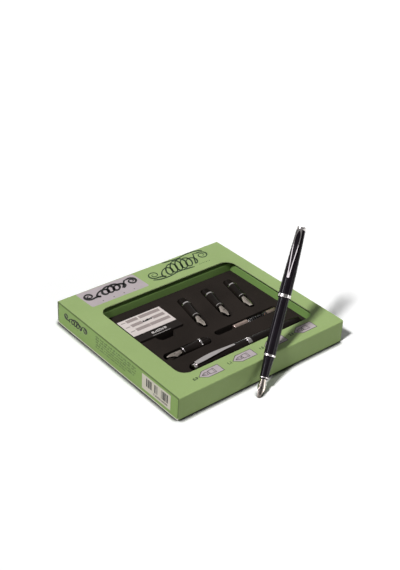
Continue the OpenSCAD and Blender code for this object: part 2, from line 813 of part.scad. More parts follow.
module converter_knob() {
    r = knob_d / 2;
    grooves = 10;
    pitch = 0.8;
    depth = 0.15;
    bore_r = rod_d / 2 + 0.15;
    socket = tube_bore_d / 2 + turn_gap;
    color(champagne) in_converter_pocket() rotate_extrude() polygon(concat(
        [[0, 0], [r - 0.4, 0], [r, 0.4], [r, 1]],
        [for (i = [0:grooves - 1]) each [[r - depth, 1 + (i + 0.5) * pitch], [r, 1 + (i + 1) * pitch]]],
        [
            [r, knob_l], [socket, knob_l], [socket, knob_l - neck_l - face_gap],
            [bore_r, knob_l - neck_l - face_gap], [bore_r, rod_s - 0.3], [0, rod_s - 0.3]
        ]
    ));
}

module converter_tube() {
    neck_r = tube_bore_d / 2;
    rod_hole = rod_d / 2 + turn_gap;
    color(clear_grey) in_converter_pocket() rotate_extrude() polygon([
        [rod_hole, tube_s - neck_l], [neck_r, tube_s - neck_l], [neck_r, tube_s], [tube_d / 2, tube_s],
        [tube_d / 2, mouth_s + tube_lap], [neck_r, mouth_s + tube_lap],
        [neck_r, tube_s + tube_end_wall], [rod_hole, tube_s + tube_end_wall]
    ]);
}

module converter_mouth() {
    r = knob_d / 2;
    bevel = 0.3;
    color(champagne) in_converter_pocket() rotate_extrude() polygon([
        [tube_d / 2 + fit, mouth_s], [r, mouth_s], [r, converter_len - bevel],
        [r - bevel, converter_len], [nipple_r + fit, converter_len],
        [nipple_r + fit, mouth_s + tube_lap + fit], [tube_d / 2 + fit, mouth_s + tube_lap + fit]
    ]);
}

module converter_piston() {
    r = tube_bore_d / 2 - turn_gap;
    lip = 0.8;
    color(gloss_black) in_converter_pocket() translate([0, 0, piston_s]) rotate_extrude() polygon([
        [0, 0.5], [rod_d / 2 + fit, 0.5], [rod_d / 2 + fit, 0], [r, 0], [r, lip], [r - 0.5, lip + 0.3],
        [r - 0.5, piston_l - lip - 0.3], [r, piston_l - lip], [r, piston_l - 0.2], [0, piston_l]
    ]);
}

module converter_rod() {
    color(steel) in_converter_pocket() translate([0, 0, rod_s])
        cylinder(d = rod_d, h = piston_s + 0.4 - rod_s);
}

// Spare nib units in the foam

module nib_a() in_first() nib(first_tip_w);
module feed_a() in_first() feed();
module section_a() in_first() section();
module rings_a() in_first() rings();
module nib_b() in_second() nib(second_tip_w);
module feed_b() in_second() feed();
module section_b() in_second() section();
module rings_b() in_second() rings();
module nib_c() in_third() nib(third_tip_w);
module feed_c() in_third() feed();
module section_c() in_third() section();
module rings_c() in_third() rings();
module nib_d() in_fourth() nib(fourth_tip_w);
module feed_d() in_fourth() feed();
module section_d() in_fourth() section();
module rings_d() in_fourth() rings();

// Capped pen in the foam

module pen_cap() in_pen_pocket() capped() cap();
module pen_clip() in_pen_pocket() capped() clip();
module pen_finial() in_pen_pocket() capped() finial();
module pen_band() in_pen_pocket() capped() band();
module pen_barrel() in_pen_pocket() barrel();
module pen_section() in_pen_pocket() section();
module pen_rings() in_pen_pocket() rings();
module pen_feed() in_pen_pocket() feed();
module pen_nib() in_pen_pocket() nib(pen_tip_w);

// Pen that stands in front

module stand_cap() standing() posted() cap();
module stand_clip() standing() posted() clip();
module stand_finial() standing() posted() finial();
module stand_band() standing() posted() band();
module stand_barrel() standing() barrel();
module stand_section() standing() section();
module stand_rings() standing() rings();
module stand_feed() standing() feed();
module stand_nib() standing() nib(pen_tip_w);
module stand_cartridge() standing() translate([0, 0, nipple_s + face_gap]) cartridge();

sleeve();
slide_tray();
inner_frame();
foam_insert();
barcode_label();
cartridge_carton();
carton_label();
ink_cartridges();
nib_a();
feed_a();
section_a();
rings_a();
nib_b();
feed_b();
section_b();
rings_b();
nib_c();
feed_c();
section_c();
rings_c();
nib_d();
feed_d();
section_d();
rings_d();
converter_knob();
converter_tube();
converter_mouth();
converter_piston();
converter_rod();
pen_cap();
pen_clip();
pen_finial();
pen_band();
pen_barrel();
pen_section();
pen_rings();
pen_feed();
pen_nib();
stand_cap();
stand_clip();
stand_finial();
stand_band();
stand_barrel();
stand_section();
stand_rings();
stand_feed();
stand_nib();
stand_cartridge();
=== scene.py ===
import math
import random

import bmesh
import bpy
from mathutils import Matrix, Vector


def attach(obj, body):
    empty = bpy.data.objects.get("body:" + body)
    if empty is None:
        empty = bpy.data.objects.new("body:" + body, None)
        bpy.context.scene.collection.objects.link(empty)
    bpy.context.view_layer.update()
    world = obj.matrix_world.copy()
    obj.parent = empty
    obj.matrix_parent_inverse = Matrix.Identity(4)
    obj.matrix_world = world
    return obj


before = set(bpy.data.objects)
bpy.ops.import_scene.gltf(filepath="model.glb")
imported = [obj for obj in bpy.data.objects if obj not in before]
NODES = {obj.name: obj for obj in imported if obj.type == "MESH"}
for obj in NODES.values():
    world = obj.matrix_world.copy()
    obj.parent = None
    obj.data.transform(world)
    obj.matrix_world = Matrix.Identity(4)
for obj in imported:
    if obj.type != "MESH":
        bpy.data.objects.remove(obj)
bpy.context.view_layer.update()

MM = 0.001

# The sleeve in millimetres, and its front left corner from the middle of its underside
SLEEVE_W, SLEEVE_D, SLEEVE_H, CARD_T = 205, 191, 25, 0.9
CORNER = Vector((-SLEEVE_W / 2, -SLEEVE_D / 2, 0))


def at(x, y, z):
    """A point in millimetres from the sleeve's front left corner, as its place in metres."""
    return (Vector((x, y, z)) + CORNER) * MM


# Camera, fitted to the seven visible corners of the box in the photograph

CAMERA_PLACE = Vector((-546.8, -621.5, 568.6)) * MM
CAMERA_RIGHT = Vector((0.7689, -0.6379, 0.0443))
CAMERA_DOWN = Vector((-0.3083, -0.4305, -0.8483))
CAMERA_AHEAD = Vector((0.5602, 0.6386, -0.5277))
SENSOR_WIDTH, LENS, CLIP_END = 36, 63.96, 20


def link(made):
    bpy.context.scene.collection.objects.link(made)
    return made


def make_camera():
    data = bpy.data.cameras.new("camera")
    data.sensor_width = SENSOR_WIDTH
    data.lens = LENS
    data.clip_end = CLIP_END
    camera = link(bpy.data.objects.new("camera", data))
    turn = Matrix((CAMERA_RIGHT, -CAMERA_DOWN, -CAMERA_AHEAD)).transposed()
    camera.matrix_world = Matrix.Translation(CAMERA_PLACE) @ turn.to_4x4()
    bpy.context.scene.camera = camera


make_camera()
bpy.context.scene.view_settings.view_transform = "Standard"


# Materials

class Surface:
    """A node material. Numbers that are the same all over are set on the shader's own sockets."""

    def __init__(self, name, **sockets):
        self.material = bpy.data.materials.new(name)
        self.material.use_nodes = True
        self.tree = self.material.node_tree
        self.shader = self.tree.nodes["Principled BSDF"]
        for key, value in sockets.items():
            self.shader.inputs[key.replace("_", " ")].default_value = value

    def put(self, socket, value):
        if isinstance(value, bpy.types.NodeSocket):
            self.tree.links.new(value, socket)
        else:
            socket.default_value = value

    def node(self, kind, inputs=(), **settings):
        made = self.tree.nodes.new("ShaderNode" + kind)
        for key, value in settings.items():
            setattr(made, key, value)
        for key, value in dict(inputs).items():
            self.put(made.inputs[key], value)
        return made

    def place(self):
        """Object coordinates, which ride with the piece."""
        return self.node("TexCoord").outputs["Object"]

    def local(self, matrix):
        """Coordinates in a piece's own frame, in metres."""
        return self.node("Mapping", {
            "Vector": self.place(), "Location": matrix.to_translation(), "Rotation": matrix.to_euler("XYZ"),
        }, vector_type="TEXTURE").outputs[0]

    def stretch(self, vector, scale):
        return self.node("Mapping", {"Vector": vector, "Scale": scale}).outputs[0]

    def axes(self, vector):
        return self.node("SeparateXYZ", {0: vector}).outputs

    def math(self, operation, a, b=0.0):
        return self.node("Math", {0: a, 1: b}, operation=operation).outputs[0]

    def noise(self, vector, scale, detail=3.0, rough=0.5, distortion=0.0):
        return self.node("TexNoise", {
            "Vector": vector, "Scale": scale, "Detail": detail, "Roughness": rough,
            "Distortion": distortion,
        }).outputs["Fac"]

    def fit(self, value, low, high, out_low=0.0, out_high=1.0):
        return self.node("MapRange", {0: value, 1: low, 2: high, 3: out_low, 4: out_high}).outputs[0]

    def above(self, value, edge, soft):
        """1 where the value lies past an edge, with a soft step."""
        return self.fit(value, edge - soft, edge + soft)

    def below(self, value, edge, soft):
        return self.fit(value, edge - soft, edge + soft, 1.0, 0.0)

    def band(self, value, low, high, soft):
        """1 where the value lies between low and high, with soft edges."""
        return self.times(self.above(value, low, soft), self.below(value, high, soft))

    def times(self, *factors):
        result = factors[0]
        for factor in factors[1:]:
            result = self.math("MULTIPLY", result, factor)
        return result

    def mix(self, factor, a, b):
        return self.node("Mix", {0: factor, 6: a, 7: b}, data_type="RGBA").outputs[2]

    def bump(self, height, distance, strength):
        return self.node("Bump", {
            "Height": height, "Distance": distance, "Strength": strength,
        }).outputs[0]

    def finish(self, color, rough, normal):
        for key, value in (("Base Color", color), ("Roughness", rough), ("Normal", normal)):
            self.put(self.shader.inputs[key], value)
        return self.material


def rgb(red, green, blue):
    """A colour as it shows on screen, 0 to 255, as the linear colour that a shader takes."""
    def linear(v):
        v = v / 255
        return v / 12.92 if v <= 0.04045 else ((v + 0.055) / 1.055) ** 2.4
    return (linear(red), linear(green), linear(blue), 1)


def shade(color, factor):
    return tuple(c * factor for c in color[:3]) + (1,)


GREEN = rgb(157, 180, 118)
# A darker copy of the sleeve's green: painted shade, so that the tray's end wall shows darker than the lit top
SHADED_TRAY_GREEN = rgb(137, 165, 96)
# A still darker copy of the card green: painted shade for the frame's walls inside the window's well
SHADED_FRAME_GREEN = rgb(118, 151, 83)
RAW = rgb(222, 217, 206)
MAUVE = rgb(188, 177, 180)
INK = rgb(26, 24, 24)
INK_GREEN = rgb(40, 60, 34)

# Faces of the sleeve in metres: from the middle outwards, and up from its underside
HALF_W, HALF_D, TOP = SLEEVE_W / 2 * MM, SLEEVE_D / 2 * MM, SLEEVE_H * MM
INNER_SIDE, INNER_FLOOR, INNER_TOP = HALF_D - CARD_T * MM, CARD_T * MM, TOP - CARD_T * MM
# How far a print reaches past a face, and how soft its edge is
SKIN, SOFT = 0.00005, 0.00003
CREASE_IN, CREASE_UP = 0.0948, 0.0243
END_WALL_IN, END_WALL_UP = 0.1006, 0.0228
OPEN_END_IN, RAW_EDGE_UP = 0.00004, 0.0021


def card(name, green, sleeve):
    """Coated card with printed green, raw cut edges and a fine fibre under the print."""
    s = Surface(name, Specular_IOR_Level=0.15)
    place = s.place()
    x, y, z = s.axes(place)
    cloud = s.noise(place, 18, 3)
    fibre = s.noise(s.stretch(place, (1, 3, 1)), 1600, 2, 0.6)
    speckle = s.noise(place, 700, 2)
    color = s.mix(s.fit(cloud, 0.3, 0.7), shade(green, 0.95), shade(green, 1.05))
    color = s.mix(s.fit(fibre, 0.3, 0.75, 0, 0.16), color, shade(green, 0.72))
    color = s.mix(s.fit(speckle, 0.62, 0.75, 0, 0.12), color, shade(RAW, 0.9))
    far_x = s.math("ABSOLUTE", x)
    far_y = s.math("ABSOLUTE", y)
    if sleeve:
        # Raw board on the lower edge of the open ends, on the window's cut edge and inside
        open_end = s.above(far_x, HALF_W - OPEN_END_IN, SOFT)
        lower_edge = s.times(open_end, s.below(z, RAW_EDGE_UP, 0.0008))
        up = s.axes(s.node("NewGeometry").outputs["Normal"])[2]
        upright = s.fit(s.math("ABSOLUTE", up), 0.35, 0.6, 1, 0)
        window_cut = s.times(upright, s.above(z, INNER_TOP - SKIN, SOFT), s.below(far_x, 0.1, 0.001),
                             s.band(y, -0.09, 0.085, 0.001))
        inside = s.times(s.below(far_y, INNER_SIDE + SKIN, SOFT),
                         s.band(z, INNER_FLOOR - SKIN, INNER_TOP + SKIN, SOFT),
                         s.below(far_x, HALF_W - SOFT, 0.00002))
        rim = s.math("MAXIMUM", lower_edge, s.math("MULTIPLY", window_cut, 0.08))
        color = s.mix(s.math("MAXIMUM", rim, inside), color, RAW)
        # Painted shadow: the open ends' other cut edges are painted dark green for the shade of the gap between
        # sleeve and tray
        gap_shadow = s.times(open_end, s.band(z, 0.003, TOP - 0.00008, 0.0002))
        color = s.mix(s.math("MULTIPLY", gap_shadow, 0.8), color, shade(green, 0.22))
        # Creases a little paler than the print, unevenly along their length
        crease = s.times(s.above(far_y, CREASE_IN, 0.0005), s.above(z, CREASE_UP, 0.0005),
                         s.fit(s.noise(place, 120, 4, 0.7), 0.45, 0.7))
        color = s.mix(s.math("MULTIPLY", crease, 0.3), color, shade(green, 1.45))
    else:
        # Painted shadow: the end walls' top edges are painted dark green for the shade of the gap under the
        # sleeve's panel
        gap_shadow = s.times(s.above(far_x, END_WALL_IN, 0.0002), s.above(z, END_WALL_UP, 0.0005))
        color = s.mix(s.math("MULTIPLY", gap_shadow, 0.75), color, shade(green, 0.25))
    height = s.math("ADD", s.math("MULTIPLY", fibre, 0.4), s.noise(place, 260, 3))
    rough = s.fit(s.noise(place, 90, 3), 0.3, 0.7, 0.42, 0.55)
    return s.finish(color, rough, s.bump(height, 0.00003, 0.35))


def foam():
    """Dense black foam with fine open cells."""
    s = Surface("foam", Specular_IOR_Level=0.04, Sheen_Weight=0.02, Sheen_Roughness=0.6)
    place = s.place()
    cells = s.node("TexVoronoi", {"Vector": place, "Scale": 1500.0}).outputs["Distance"]
    grain = s.noise(place, 2200, 3, 0.7)
    cloud = s.noise(place, 30, 3)
    color = s.mix(s.fit(grain, 0.3, 0.7), rgb(27, 23, 21), rgb(48, 42, 38))
    color = s.mix(s.fit(cloud, 0.35, 0.65, 0, 0.35), color, rgb(56, 49, 45))
    height = s.math("ADD", cells, s.math("MULTIPLY", grain, 0.8))
    return s.finish(color, s.fit(grain, 0.2, 0.8, 0.85, 1.0), s.bump(height, 0.00012, 0.6))


def lacquer(name, tint, gloss):
    """Polished black lacquer with faint handling marks."""
    s = Surface(name, Specular_IOR_Level=gloss)
    place = s.place()
    smear = s.noise(place, 60, 4, 0.6, 0.6)
    dust = s.noise(place, 2600, 2)
    color = s.mix(s.fit(smear, 0.3, 0.7), tint, shade(tint, 1.7))
    rough = s.math("ADD", s.fit(smear, 0.35, 0.75, 0.07, 0.13), s.fit(dust, 0.68, 0.8, 0, 0.12))
    return s.finish(color, rough, s.bump(s.noise(place, 300, 2), 0.000006, 0.2))


def metal(name, color, low, high, brush=(1, 1, 1), depth=0.000006):
    """Polished or brushed metal: the brush marks run where the noise is stretched."""
    s = Surface(name, Metallic=1.0)
    place = s.place()
    grain = s.noise(s.stretch(place, brush), 900, 3, 0.6)
    cloud = s.noise(place, 200, 3)
    tone = s.mix(s.fit(cloud, 0.3, 0.7), shade(color, 0.93), shade(color, 1.04))
    rough = s.fit(s.math("ADD", grain, s.math("MULTIPLY", cloud, 0.5)), 0.45, 1.05, low, high)
    return s.finish(tone, rough, s.bump(grain, depth, 0.4))


def engraved_nib(name, matrix, dark):
    """Steel nib with a generic engraving along its back, inside a fine border line."""
    s = Surface(name, Metallic=1.0)
    place = s.local(matrix)
    x, y, z = s.axes(place)
    side = s.math("ABSOLUTE", y)
    # Half width of the engraved field, along the nib from its tip
    field = s.fit(z, 0.002, 0.0085, 0.0008, 0.0022)
    taper = s.fit(z, 0.0095, 0.017, 0.0, 0.0011)
    reach = s.math("SUBTRACT", side, s.math("SUBTRACT", field, taper))
    length = s.band(z, 0.0024, 0.0171, 0.0003)
    back = s.fit(x, -0.001, -0.0006, 1, 0)
    inner = s.times(s.fit(reach, -0.00012, 0.00002, 1, 0), length, back)
    border = s.times(s.band(reach, -0.00002, 0.00018, 0.00005), length, back)
    curls = s.node("TexWave", {
        "Vector": s.stretch(place, (1, 1.3, 0.8)), "Scale": 520.0, "Distortion": 9.0, "Detail": 1.5,
        "Detail Scale": 1.2,
    }, wave_type="RINGS", rings_direction="X").outputs["Fac"]
    cut_lines = s.times(inner, s.fit(curls, 0.7, 0.92, 1, 0))
    cut = s.math("MAXIMUM", cut_lines, s.math("MULTIPLY", border, 0.9))
    grain = s.noise(s.stretch(place, (1, 1, 0.12)), 1800, 3)
    sheet = s.mix(s.fit(grain, 0.3, 0.7), rgb(216, 203, 191), rgb(242, 231, 220))
    # The engraving is real; its darkness is a per-nib amount, partly painted shade
    color = s.mix(s.math("MULTIPLY", cut, dark), sheet, rgb(27, 22, 22))
    rough = s.math("ADD", s.fit(grain, 0.3, 0.7, 0.16, 0.26), s.math("MULTIPLY", cut, 0.42))
    height = s.math("SUBTRACT", s.math("MULTIPLY", grain, 0.05), cut)
    return s.finish(color, rough, s.bump(height, 0.00004, 0.5))


def clear_plastic():
    """The converter's tube. It has no bump, so that the rod shows through it plainly."""
    s = Surface("clear_plastic", Transmission_Weight=1.0, IOR=1.2)
    cloud = s.noise(s.place(), 60, 2)
    s.put(s.shader.inputs["Base Color"],
          s.mix(s.fit(cloud, 0.3, 0.7), rgb(240, 240, 241), rgb(250, 250, 250)))
    s.put(s.shader.inputs["Roughness"], s.fit(cloud, 0.3, 0.7, 0.02, 0.06))
    return s.material


def plastic(name, color, rough, transmission=0.0):
    """Moulded plastic or rubber with a fine grain."""
    s = Surface(name, Transmission_Weight=transmission, Specular_IOR_Level=0.4)
    place = s.place()
    grain = s.noise(place, 900, 3, 0.6)
    tone = s.mix(s.fit(s.noise(place, 80, 3), 0.3, 0.7), shade(color, 0.85), shade(color, 1.15))
    return s.finish(tone, s.fit(grain, 0.3, 0.7, rough - 0.06, rough + 0.06), s.bump(grain, 0.00002, 0.3))


def paper(name, color, fleck, rough=0.6, gloss=0.3):
    """Printed or plain paper: fibres, a slight mottle and soft flecks."""
    s = Surface(name, Specular_IOR_Level=gloss)
    place = s.place()
    fibre = s.noise(s.stretch(place, (1, 2.5, 1)), 1500, 3, 0.6)
    mottle = s.noise(place, 140, 4)
    tone = s.mix(s.fit(mottle, 0.3, 0.7), shade(color, 0.94), shade(color, 1.03))
    tone = s.mix(s.fit(fibre, 0.4, 0.8, 0, 0.22), tone, fleck)
    return s.finish(tone, s.fit(fibre, 0.2, 0.8, rough - 0.07, rough + 0.07), s.bump(fibre, 0.00002, 0.3))


sleeve_card = card("printed_card", GREEN, True)
tray_card = card("tray_card", SHADED_TRAY_GREEN, False)
frame_card = card("frame_card", SHADED_FRAME_GREEN, False)
chrome = metal("chrome", rgb(228, 222, 220), 0.06, 0.13)
steel = metal("rod_steel", rgb(140, 136, 132), 0.3, 0.42, brush=(0.2, 1, 1))
champagne = metal("champagne_metal", rgb(226, 202, 190), 0.3, 0.42, brush=(1, 0.15, 0.15), depth=0.00001)
black_lacquer = lacquer("black_lacquer", rgb(17, 13, 18), 0.15)
moulded_black = lacquer("moulded_black", rgb(25, 21, 19), 0.1)
feed_plastic = plastic("feed_plastic", rgb(30, 28, 30), 0.34)
rubber = plastic("piston_rubber", rgb(30, 29, 30), 0.55)
ink_plastic = plastic("cartridge_plastic", rgb(30, 44, 120), 0.22, transmission=0.45)
carton_card = paper("carton_card", rgb(38, 34, 32), rgb(60, 55, 54), 0.4, gloss=0.06)
label_paper = paper("label_paper", rgb(226, 216, 212), rgb(190, 180, 176))
sticker_paper = paper("sticker_paper", rgb(208, 203, 188), rgb(176, 170, 156))
ink_black = paper("print_black", INK, rgb(60, 56, 56), 0.45)
ink_green = paper("print_dark_green", INK_GREEN, rgb(84, 104, 66), 0.5)
ink_mauve = paper("print_mauve", MAUVE, rgb(168, 158, 160), 0.5)
ink_grey = paper("print_grey", rgb(70, 62, 66), rgb(98, 90, 92), 0.5)
# White print, which also draws the carton's painted highlight
white_print_and_highlight = paper("print_white_and_highlight", rgb(214, 208, 206), rgb(170, 164, 162), 0.5)
ink_taupe = paper("print_taupe", rgb(160, 148, 145), rgb(184, 172, 168), 0.55)


# Frames of the pieces that lie or lean along their own axis, with +Z from the nib's tip

def along(distance):
    return Matrix.Translation((0, 0, distance * MM))


def turned(angle, axis):
    return Matrix.Rotation(math.radians(angle), 4, axis)


def laid(x, y, z, heading):
    return Matrix.Translation(at(x, y, z)) @ turned(heading, "Z") @ turned(90, "Y")


UNIT_Z = 9.25
SPARE_Y, SPARE_HEADING = 88.7, 78
SPARES = {
    "a": laid(104, SPARE_Y, UNIT_Z, SPARE_HEADING),
    "b": laid(134.85, SPARE_Y, UNIT_Z, SPARE_HEADING),
    "c": laid(165.7, SPARE_Y, UNIT_Z, SPARE_HEADING),
    "d": laid(40.7, 68.5, UNIT_Z, 0),
}
# Along a pen from its nib's tip: where the grip ends, and where a posted cap's mouth lies
GRIP_END, POSTED = 38.6, 94.6
CAP_TOTAL = 69
CAPPED_PEN = laid(50.2 + CAP_TOTAL - GRIP_END, 41.5, 9.75, 0)
STAND_HEADING, STAND_TILT, STAND_ROLL, CAP_ROLL = 31, 42, 10, -10
STANDING = (
    Matrix.Translation(at(80, -17.183012, -0.741376))
    @ turned(STAND_HEADING, "Z") @ turned(STAND_TILT, "Y") @ turned(STAND_ROLL, "Z")
)
STANDING_CAP = STANDING @ along(POSTED) @ turned(CAP_ROLL, "Z")


# Meshes of flat pieces, which stand a hair proud of what carries them, in millimetres

LOW, HIGH, HIGHER = -0.03, 0.03, 0.06


def add_object(name, bm, material, body):
    bmesh.ops.recalc_face_normals(bm, faces=bm.faces)
    mesh = bpy.data.meshes.new(name)
    bm.to_mesh(mesh)
    bm.free()
    mesh.materials.append(material)
    made = link(bpy.data.objects.new(name, mesh))
    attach(made, body)


def add_strip(bm, place, left, right, low, high, closed=False):
    """A closed solid over two rows of points, between two heights above the surface."""
    count = len(left)
    rows = [
        [bm.verts.new(place(u, v, h)) for u, v in row]
        for row, h in ((left, low), (right, low), (right, high), (left, high))
    ]
    spans = count if closed else count - 1
    for i in range(spans):
        j = (i + 1) % count
        for a in range(4):
            b = (a + 1) % 4
            bm.faces.new((rows[a][i], rows[b][i], rows[b][j], rows[a][j]))
    if not closed:
        bm.faces.new([row[0] for row in reversed(rows)])
        bm.faces.new([row[-1] for row in rows])


def add_plate(bm, place, outline, high=HIGH):
    """A closed flat plate with this outline."""
    bottom = [bm.verts.new(place(u, v, LOW)) for u, v in outline]
    top = [bm.verts.new(place(u, v, high)) for u, v in outline]
    bm.faces.new(top)
    bm.faces.new(list(reversed(bottom)))
    for i in range(len(outline)):
        j = (i + 1) % len(outline)
        bm.faces.new((bottom[i], bottom[j], top[j], top[i]))


def add_diamond(bm, place, u, v, size, high=HIGH):
    add_plate(bm, place, [(u - size, v), (u, v - size), (u + size, v), (u, v + size)], high)


def add_line(bm, place, points, width, high=HIGH, closed=False):
    """A thin line of even width through corner points."""
    points = [Vector(p) for p in points]
    count = len(points)
    left, right = [], []
    for i, p in enumerate(points):
        before = points[i - 1] if closed or i > 0 else p
        after = points[(i + 1) % count] if closed or i < count - 1 else p
        a = (p - before).normalized() if (p - before).length > 0 else (after - p).normalized()
        b = (after - p).normalized() if (after - p).length > 0 else a
        normal = Vector((-a.y - b.y, a.x + b.x)).normalized()
        reach = width / 2 / max(0.4, normal.dot(Vector((-a.y, a.x))))
        left.append(p + normal * reach)
        right.append(p - normal * reach)
    add_strip(bm, place, left, right, LOW, high, closed)


# A penman's flourish

NIB_ANGLE = 35
STROKE_FADE = 0.12
CURVE_STEPS, SPIRAL_STEPS, LOOP_STEPS = 7, 26, 26


def smooth(points):
    """Points of a Catmull-Rom curve through these."""
    ends = [points[0]] + list(points) + [points[-1]]
    made = []
    for i in range(1, len(ends) - 2):
        p0, p1, p2, p3 = (Vector(p) for p in ends[i - 1:i + 3])
        for k in range(CURVE_STEPS):
            t = k / CURVE_STEPS
            made.append(0.5 * (
                2 * p1 + (p2 - p0) * t + (2 * p0 - 5 * p1 + 4 * p2 - p3) * t * t
                + (3 * p1 - p0 - 3 * p2 + p3) * t ** 3
            ))
    made.append(Vector(points[-1]))
    return made


def pen_stroke(points, thin, thick):
    """The two sides of a broad nib's stroke: wide across the nib's angle, thin along it."""
    left, right = [], []
    last = len(points) - 1
    for i, point in enumerate(points):
        ahead = points[min(i + 1, last)] - points[max(i - 1, 0)]
        if ahead.length < 1e-9:
            ahead = Vector((1, 0))
        ahead.normalize()
        slant = abs(math.sin(math.atan2(ahead.y, ahead.x) - math.radians(NIB_ANGLE)))
        end = min(i, last - i) / max(1, last * STROKE_FADE)
        width = (thin + (thick - thin) * slant) * (0.25 + 0.75 * min(1, end) ** 0.7)
        normal = Vector((-ahead.y, ahead.x)) * width / 2
        left.append(point + normal)
        right.append(point - normal)
    return left, right


def spiral(centre, inner, outer, start, end):
    """Points of a spiral between two radii and two angles in degrees."""
    made = []
    for i in range(SPIRAL_STEPS + 1):
        t = i / SPIRAL_STEPS
        angle = math.radians(start + (end - start) * t)
        radius = inner + (outer - inner) * t ** 0.8
        made.append(Vector(centre) + Vector((math.cos(angle), math.sin(angle))) * radius)
    return made


def loops(count, reach, height):
    """A chain of slanted loops that grow towards the middle and shrink again."""
    made = []
    steps = LOOP_STEPS * count
    for i in range(steps + 1):
        t = i / steps
        angle = 2 * math.pi * count * t
        size = height * (0.55 + 0.45 * math.sin(math.pi * t))
        rise = size * (1 - math.cos(angle)) / 2
        swing = 1.6 * reach / count * math.sin(angle)
        made.append(Vector((reach * (2 * t - 1) - swing + 0.35 * (rise - height / 2), rise - height / 2)))
    return made


def flourish(rich):
    """A generic penman's flourish, 2 long and about 0.5 high, as lists of points."""
    curl = spiral((-0.82, 0.0), 0.02, 0.17, -300, 285)
    back_curl = [-p for p in reversed(curl)]
    if not rich:
        return [curl + [Vector((-0.62, -0.14))] + loops(4, 0.42, 0.36) + [Vector((0.62, 0.14))] + back_curl]
    tail = smooth([Vector(p) for p in (
        (-0.98, -0.18), (-0.8, -0.27), (-0.5, -0.31), (-0.2, -0.27), (0.1, -0.31), (0.3, -0.35),
    )])
    return [
        curl + [Vector((-0.66, -0.2))] + loops(6, 0.5, 0.5) + [Vector((0.66, 0.2))] + back_curl,
        tail, [-p for p in tail],
    ]


def add_flourish(bm, place, middle, half_w, half_h, thin, thick, high=HIGH, rich=False, slope=0.0):
    """A flourish round a middle. Each further stroke lies a little higher than the one before."""
    for k, stroke in enumerate(flourish(rich)):
        points = [
            Vector((middle[0] + p.x * half_w, middle[1] + p.y * half_h + p.x * half_w * slope))
            for p in stroke
        ]
        left, right = pen_stroke(points, thin, thick)
        add_strip(bm, place, left, right, LOW, high + 0.002 * k)


def add_numbers(name, items, size, weight, matrix, material, body):
    """Plain numbers as thin solids. Each item is a text and its place on the surface."""
    parts = []
    for k, (text, u, v) in enumerate(items):
        curve = bpy.data.curves.new(f"{name}_{k}", "FONT")
        curve.body = text
        curve.size = size * MM
        curve.extrude = HIGH * MM
        curve.offset = weight * MM
        curve.align_x = "RIGHT"
        made = link(bpy.data.objects.new(f"{name}_{k}", curve))
        made.matrix_world = matrix @ Matrix.Translation((u * MM, v * MM, 0))
        parts.append(made)
    bpy.context.view_layer.update()
    graph = bpy.context.evaluated_depsgraph_get()
    bm = bmesh.new()
    for made in parts:
        mesh = bpy.data.meshes.new_from_object(made.evaluated_get(graph))
        mesh.transform(made.matrix_world)
        bm.from_mesh(mesh)
        bpy.data.meshes.remove(mesh)
        curve = made.data
        bpy.data.objects.remove(made)
        bpy.data.curves.remove(curve)
    bmesh.ops.remove_doubles(bm, verts=bm.verts, dist=1e-7)
    add_object(name, bm, material, body)


# Print on the sleeve's top

PATCH_X0, PATCH_X1, PATCH_Y0, PATCH_Y1, PATCH_R = 21, 90.3, 161.2, 189.4, 2.2
DOT, SMALL_DOT = 0.75, 0.5


def on_top(u, v, h):
    return at(u, v, SLEEVE_H + h)


def patch_outline():
    """The patch behind the ornament: a block with slightly wavy, rounded sides."""
    left, right = PATCH_X0 + PATCH_R, PATCH_X1 - PATCH_R
    front, back = PATCH_Y0 + PATCH_R, PATCH_Y1 - PATCH_R
    made = []
    for cx, cy, start in ((right, back, 0), (left, back, 90), (left, front, 180), (right, front, 270)):
        for i in range(7):
            a = math.radians(start + 15 * i)
            made.append((cx + PATCH_R * math.cos(a), cy + PATCH_R * math.sin(a)))
    return [
        (x + 0.35 * math.sin(y * 0.55) - 0.04 * (y - PATCH_Y0), y + 0.2 * math.sin(x * 0.35))
        for x, y in made
    ]


bm = bmesh.new()
add_plate(bm, on_top, patch_outline())
add_object("top_patch", bm, ink_mauve, "sleeve_shell")

bm = bmesh.new()
add_flourish(bm, on_top, (55, 178.8), 32, 33, 1.7, 3.5, HIGHER)
for x in (36.4, 49.3, 61.7, 74.3):
    add_diamond(bm, on_top, x, 164.9, DOT, HIGHER)
add_object("top_swash", bm, ink_black, "sleeve_shell")

bm = bmesh.new()
add_flourish(bm, on_top, (139.7, 176), 41, 38, 1.1, 2.5, rich=True, slope=0.05)
for i in range(7):
    add_diamond(bm, on_top, 159.5 + 2.2 * i, 164.2, SMALL_DOT if i % 2 else DOT)
add_object("top_flourish", bm, ink_green, "sleeve_shell")

# Tags for the four nib sizes, with a plain drawing of a nib unit in each: the place of the tag's
# tip, its number, and the width of the drawn nib's tip

TAGS = ((32.9, "0.9", 0.5), (73.1, "1.1", 0.8), (112.3, "1.5", 1.1), (150.9, "2.3", 1.5))
TAG_LEN, TAG_Y0, TAG_Y1, TAG_POINT = 26, 7.9, 18.6, 7.2
TAG_MIDDLE = (TAG_Y0 + TAG_Y1) / 2


def tag_outline(tip, inset=0.0):
    shoulder, end = tip + TAG_POINT + 0.4 * inset, tip + TAG_LEN - inset
    return [
        (tip + 1.6 * inset, TAG_MIDDLE), (shoulder, TAG_Y0 + inset), (end, TAG_Y0 + inset),
        (end, TAG_Y1 - inset), (shoulder, TAG_Y1 - inset),
    ]


